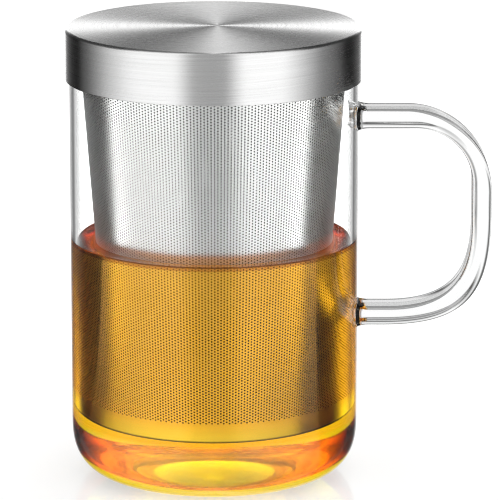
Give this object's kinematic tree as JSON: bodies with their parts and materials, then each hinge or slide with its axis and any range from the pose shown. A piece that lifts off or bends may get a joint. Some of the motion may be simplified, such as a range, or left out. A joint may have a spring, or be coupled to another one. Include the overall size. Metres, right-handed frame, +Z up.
{
  "type": "tea mug with infuser and lid",
  "caption": "Straight glass mug with a solid glass side handle, a perforated steel infuser basket hung from its rim and a flat brushed steel lid that lifts off.",
  "frame": {"origin": "on the mug's axis at the underside of its base", "axes": "+Z up along the mug's axis, +X from the axis towards the handle, +Y across the handle"},
  "size_m": [0.1258, 0.0876, 0.1348],
  "materials": {
    "glass": "clear, fire polished",
    "basket_steel": "satin etched sheet",
    "lid_steel": "spun brushing on the top, level brushing on the skirt",
    "seal_silicone": "milky translucent silicone"
  },
  "bodies": {
    "mug": {"mug_body": "glass", "mug_handle": "glass"},
    "infuser": {"basket_wall": "basket_steel", "basket_floor": "basket_steel", "basket_collar": "basket_steel"},
    "lid": {"lid_shell": "lid_steel", "lid_liner": "lid_steel", "lid_seal": "seal_silicone"}
  },
  "joints": [
    {"name": "infuser_lift", "type": "slide", "parent": "mug", "child": "infuser", "axis": [0, 0, 1], "range_m": [0, 0.13]},
    {"name": "lid_lift", "type": "slide", "parent": "infuser", "child": "lid", "axis": [0, 0, 1], "range_m": [0, 0.04]}
  ]
}
